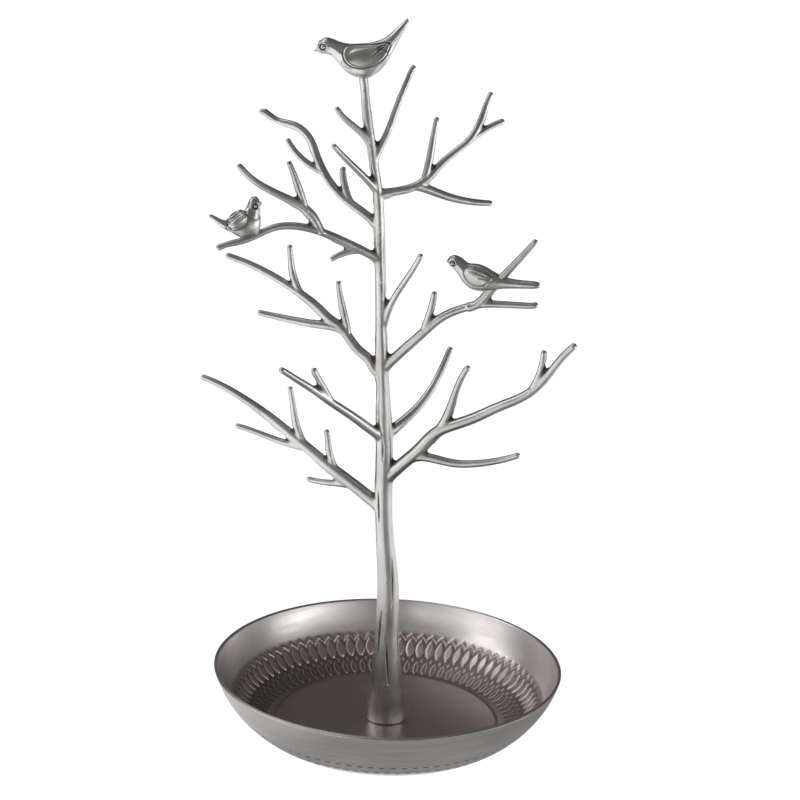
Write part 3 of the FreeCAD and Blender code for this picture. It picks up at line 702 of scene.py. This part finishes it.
def dashMarks(height, phase, radius):
    # two rows of short dents low on the outside, where the petals were pressed; the same marks carry painted
    # shade
    marks = np.zeros(len(phase))
    for row, shift in dish["dashRows"]:
        side = ((phase - shift + 0.5) % 1 - 0.5) * 2 * math.pi * radius / dish["petals"]
        off = np.hypot((height - row) / dish["dashTall"], side / dish["dashWide"])
        marks = np.maximum(marks, smoothStep(*dish["dashFade"], off))
    return marks


def dishRings():
    # spot, way, thickness and share of inside of each ring: up the inside, over the rounded rim,
    # down the outside and through the hole
    path, normal = dishSection()
    keep = thinned(path)
    path, normal = path[keep], normal[keep]
    sheet, lipSteps = dish["sheet"], dish["lipSteps"]
    rings = [(spot, way, sheet, 1.0) for spot, way in zip(path, normal)]
    edge, out = path[-1], normal[-1]
    lip = np.array([out[1], -out[0]]) * sheet * dish["lipShare"]
    for i in range(1, lipSteps):
        swing = math.pi * i / lipSteps
        across = out * (sheet / 2) * (1 + math.cos(swing))
        rings.append((edge + across + lip * (math.sin(swing) - 1), out, 0.0, 0.5))
    return rings + [(spot, way, 0.0, 0.0) for spot, way in zip(path[::-1], normal[::-1])]


def makeDish(finish):
    rings = dishRings()
    around = dish["petals"] * dish["stepsPerPetal"]
    turn = np.radians(dish["peakTurn"]) + 2 * math.pi * np.arange(around) / around
    phase = (np.arange(around) / dish["stepsPerPetal"] + 0.5) % 1 - 0.5
    foot, ease, sheet = dish["footRadius"], dish["footEase"], dish["sheet"]
    channelTop = dish["footHeight"] + sheet
    floorTop = channelTop + dish["floorRise"]
    points, crease, inside = [], [], []
    for spot, side, thick, within in rings:
        base = spot + side * thick
        if within == 1.0 and dish["slopeFrom"] < spot[0] < foot + 2 * ease:
            slope = smoothStep(dish["slopeFrom"], foot + ease, base[0])
            base = np.array([base[0], max(base[1], floorTop + (channelTop - floorTop) * slope)])
        height = base[1] if within == 1.0 else spot[1] + side[1] * sheet
        onWall = 1.0 if spot[0] > foot - ease and within != 0.5 else 0.0
        relief, groove = petalRelief(np.full(around, height), phase, base[0])
        press, dark = relief * onWall, groove * onWall * dish["petalDark"]
        if within == 0.0:
            dash = dashMarks(spot[1], phase, base[0]) * onWall
            press = dish["throughShare"] * press + dish["dashDepth"] * dash
            # painted shade: the dents on the outside are darkened in colour
            dark = dish["dashShade"] * dash
        r = base[0] + side[0] * press
        z = base[1] + side[1] * press
        points.append(np.stack([r * np.cos(turn), r * np.sin(turn), z], 1))
        crease.append(dark)
        inside.append(np.full(around, within))
    points = np.concatenate(points)
    faces = facingOut(points, ringFaces(len(rings), around, closed=True))
    piece = newPiece("dish_pressed", points, faces,
                     {"crease": np.concatenate(crease), "inside": np.concatenate(inside)})
    dress(piece, "base", "dish_metal", finish, "dish")
    print("dish:", len(points), "points,", dish["petals"], "petals")


# rubber disc under the dish

pad = dict(around=96, edgeRound=0.45, edgeSteps=6, edgeClear=2.0, ringGap=9.0, ringDepth=0.25, ringFoot=0.6,
           ringTop=0.25, middleRadius=0.01, upperShare=0.6)


def makePad(finish):
    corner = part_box("base_pad")[1] / mm
    radius, top = corner.x, corner.z
    e, deep, wide, narrow = pad["edgeRound"], pad["ringDepth"], pad["ringFoot"], pad["ringTop"]
    section = [(pad["middleRadius"], 0.0)]
    # shallow grip rings under it
    for r in np.arange(pad["ringGap"], radius - pad["edgeClear"], pad["ringGap"]):
        section += [(r - wide, 0.0), (r - narrow, deep), (r + narrow, deep), (r + wide, 0.0)]
    swings = [math.pi / 2 * i / pad["edgeSteps"] for i in range(pad["edgeSteps"] + 1)]
    section += [(radius - e + e * math.sin(swing), e - e * math.cos(swing)) for swing in swings]
    section += [(radius - e + e * math.cos(swing), top - e + e * math.sin(swing)) for swing in swings]
    section += [(radius * pad["upperShare"], top), (pad["middleRadius"], top)]
    turns = 2 * math.pi * np.arange(pad["around"]) / pad["around"]
    points = np.concatenate([np.stack([r * np.cos(turns), r * np.sin(turns), np.full(len(turns), z)], 1)
                             for r, z in section])
    piece = newPiece("base_pad_disc", points, ringFaces(len(section), pad["around"]), capped=True)
    dress(piece, "base", "pad_rubber", finish, "base_pad")
    print("pad:", len(points), "points")


# studio: floor, light and camera

studio = dict(
    floorRadius=6.0, floorSides=128, floorDrop=0.0003, floorColor=0.80, floorGlow=0.88,
    aimHeight=0.14,  # the lamps face the middle of the stand
    lamps=dict(
        leftBox=dict(turn=-92, lift=34, away=1.6, wide=1.1, tall=0.6, power=4.6),
        topBox=dict(turn=-118, lift=62, away=1.5, wide=0.9, tall=0.9, power=3.0),
    ),
    cardSteps=24,
    # dark and glowing cards round the object, out of the picture, seen only in the metal's reflections: each
    # glows with its shade, lights nothing and casts no shadow.
    # turns from the front, then distance and height of the two long edges
    cards=dict(
        frontLow=dict(turns=(-12, 60), away=(0.17, 0.17), height=(0.0, 0.07), shade=0.26),
        frontHigh=dict(turns=(-10, 30), away=(0.42, 0.42), height=(0.0, 0.20), shade=0.17),
        frontFar=dict(turns=(-36, 50), away=(1.20, 1.20), height=(0.0, 0.36), shade=0.22),
        frontTop=dict(turns=(-60, 60), away=(0.30, 0.30), height=(0.22, 0.46), shade=0.13),
        rightFar=dict(turns=(14, 104), away=(1.30, 1.30), height=(0.10, 0.75), shade=0.14),
        rightFloor=dict(turns=(0, 58), away=(0.165, 0.40), height=(0.0008, 0.0008), shade=0.28),
        leftFloor=dict(turns=(-140, -9), away=(0.165, 0.70), height=(0.0008, 0.0008), shade=1.25),
        leftLow=dict(turns=(-90, -50), away=(0.42, 0.42), height=(0.10, 0.24), shade=1.9),
        rightLow=dict(turns=(44, 92), away=(0.42, 0.42), height=(0.10, 0.25), shade=2.5),
        leftSky=dict(turns=(-48, -18), away=(1.10, 1.10), height=(0.31, 0.77), shade=1.6),
        rightSky=dict(turns=(20, 48), away=(1.10, 1.10), height=(0.31, 0.77), shade=1.5),
        backLow=dict(turns=(-200, -118), away=(0.20, 0.20), height=(0.0, 0.09), shade=0.12),
        backHigh=dict(turns=(-200, -118), away=(0.50, 0.50), height=(0.0, 0.22), shade=0.12),
    ),
    # glowing grey mat, seen only in the dish's reflections, paler to the left
    mat=dict(inner=0.056, outer=0.16, height=0.0006, sides=96, shade=0.42, leftShade=0.85, rightShade=0.33,
             fade=(0.03, 0.09)),
    # brightness round the horizon, above it to the left and right, and at the back, and where each begins
    skyLine=0.75, skyLeft=0.24, skyRight=0.14, skyBack=0.10,
    leftward=(0.45, -0.75), backward=(-0.15, 0.45), upward=(0.12, 0.45),
)


def aimed(place, target):
    return (Vector(target) - Vector(place)).to_track_quat("-Z", "Y").to_euler()


def fromFront(turn, lift, away):
    t, e = math.radians(turn), math.radians(lift)
    height = studio["aimHeight"] + away * math.sin(e)
    return (away * math.sin(t) * math.cos(e), -away * math.cos(t) * math.cos(e), height)


def makeFloor():
    mesh = bpy.data.meshes.new("floor")
    shape = bmesh.new()
    bmesh.ops.create_circle(shape, cap_ends=True, segments=studio["floorSides"], radius=studio["floorRadius"])
    shape.to_mesh(mesh)
    shape.free()
    floor = bpy.data.objects.new("floor", mesh)
    floor.location.z = -studio["floorDrop"]
    bpy.context.scene.collection.objects.link(floor)
    f = newFinish("paleFloor")
    tone = studio["floorColor"]
    path = f.add("ShaderNodeLightPath")
    seen = [Wire(f, path.socket.node.outputs[name]) for name in
            ("Is Camera Ray", "Is Glossy Ray", "Is Transmission Ray")]
    glow = seen[0].math("MINIMUM", seen[0] + seen[1] + seen[2], 1.0) * studio["floorGlow"]
    matt = f.add("ShaderNodeBsdfDiffuse", None, {"Color": (tone, tone, tone)})
    light = f.add("ShaderNodeEmission", None, {"Color": (1, 1, 1), "Strength": glow})
    both = f.add("ShaderNodeAddShader", None, {0: matt, 1: light})
    f.add("ShaderNodeOutputMaterial", None, {"Surface": both})
    mesh.materials.append(f.owner)


def addCard(name, points, faces, shade, sides=None):
    mesh = bpy.data.meshes.new(name)
    mesh.from_pydata(points, [], faces)
    f = newFinish(name + "Card")
    tone = (shade, shade, shade)
    if sides:
        across = f.add("ShaderNodeSeparateXYZ", None, {0: f.places()})
        low, high = sides["fade"]
        tone = f.mixColor(f.ramp(across, -low, -high), tone, (sides["leftShade"],) * 3)
        tone = f.mixColor(f.ramp(across, low, high), tone, (sides["rightShade"],) * 3)
    light = f.add("ShaderNodeEmission", None, {"Color": tone, "Strength": 1.0})
    f.add("ShaderNodeOutputMaterial", None, {"Surface": light})
    mesh.materials.append(f.owner)
    card = bpy.data.objects.new(name, mesh)
    # the card glows with its shade and shows only in glossy reflections
    card.visible_camera = False
    card.visible_diffuse = False
    card.visible_shadow = False
    bpy.context.scene.collection.objects.link(card)


def makeCards():
    count = studio["cardSteps"]
    faces = [(i, i + 1, count + i + 1, count + i) for i in range(count - 1)]
    for name, card in studio["cards"].items():
        turns = np.radians(np.linspace(*card["turns"], count))
        points = [(r * math.sin(t), -r * math.cos(t), z)
                  for r, z in zip(card["away"], card["height"]) for t in turns]
        addCard(name, points, faces, card["shade"])
    mat = studio["mat"]
    turns = 2 * math.pi * np.arange(mat["sides"]) / mat["sides"]
    points = [(r * math.cos(t), r * math.sin(t), mat["height"])
              for r in (mat["inner"], mat["outer"]) for t in turns]
    addCard("mat", points, ringFaces(2, mat["sides"]).tolist(), mat["shade"], mat)


def makeLight():
    for name, box in studio["lamps"].items():
        lamp = bpy.data.lights.new(name, "AREA")
        lamp.shape = "RECTANGLE"
        lamp.size, lamp.size_y = box["wide"], box["tall"]
        lamp.energy = box["power"]
        holder = bpy.data.objects.new(name, lamp)
        holder.location = fromFront(box["turn"], box["lift"], box["away"])
        holder.rotation_euler = aimed(holder.location, (0, 0, studio["aimHeight"]))
        holder.visible_camera = False
        bpy.context.scene.collection.objects.link(holder)
    world = bpy.context.scene.world or bpy.data.worlds.new("studio")
    bpy.context.scene.world = world
    w = Finish(world)
    way = w.add("ShaderNodeTexCoord", out=0)
    toRight, toBack, high = (w.add("ShaderNodeSeparateXYZ", None, {0: way}, i) for i in range(3))
    left = w.ramp(toRight, *studio["leftward"])
    back = w.ramp(toBack, *studio["backward"])
    above = studio["skyRight"] + (studio["skyLeft"] - studio["skyRight"]) * left
    glow = studio["skyLine"] + w.ramp(high, *studio["upward"]) * (above - studio["skyLine"])
    glow = glow + back * (studio["skyBack"] - glow)
    sky = w.add("ShaderNodeBackground", None, {"Color": (1, 1, 1), "Strength": glow})
    w.add("ShaderNodeOutputWorld", None, {"Surface": sky})


def makeCamera():
    view = dict(drop=18.9, roll=2.0, away=1.3, target=(0, 0, 0.150), lens=135.96, sensor=36.0,
                shiftX=0.0041, shiftY=0.0101)
    drop, roll = math.radians(view["drop"]), math.radians(view["roll"])
    ahead = Vector((0, math.cos(drop), -math.sin(drop)))
    right = Vector((1, 0, 0))
    top = right.cross(ahead)
    localX = right * math.cos(roll) + top * math.sin(roll)
    localY = top * math.cos(roll) - right * math.sin(roll)
    camera = bpy.data.cameras.new("photoCamera")
    camera.lens, camera.sensor_width = view["lens"], view["sensor"]
    camera.shift_x, camera.shift_y = view["shiftX"], view["shiftY"]
    holder = bpy.data.objects.new("photoCamera", camera)
    turn = Matrix((localX, localY, -ahead)).transposed().to_4x4()
    holder.matrix_world = Matrix.Translation(Vector(view["target"]) - ahead * view["away"]) @ turn
    bpy.context.scene.collection.objects.link(holder)
    bpy.context.scene.camera = holder


makeCamera()
makeFloor()
makeCards()
makeLight()
bpy.context.scene.view_settings.view_transform = "Standard"
print("studio: floor, cards, lamps and camera")

makeTree(treeFinish())
birdMetal = birdFinish()
for birdName in birds:
    makeBird(birdName, birdMetal)
makeDish(dishFinish())
makePad(padFinish())

fixingSteel = fixingFinish()
for node in ("fixing_screw", "flat_washer", "spring_washer"):
    cadNodes[node].data.materials.clear()
    cadNodes[node].data.materials.append(fixingSteel)
print("fixings: CAD nodes with their own steel")
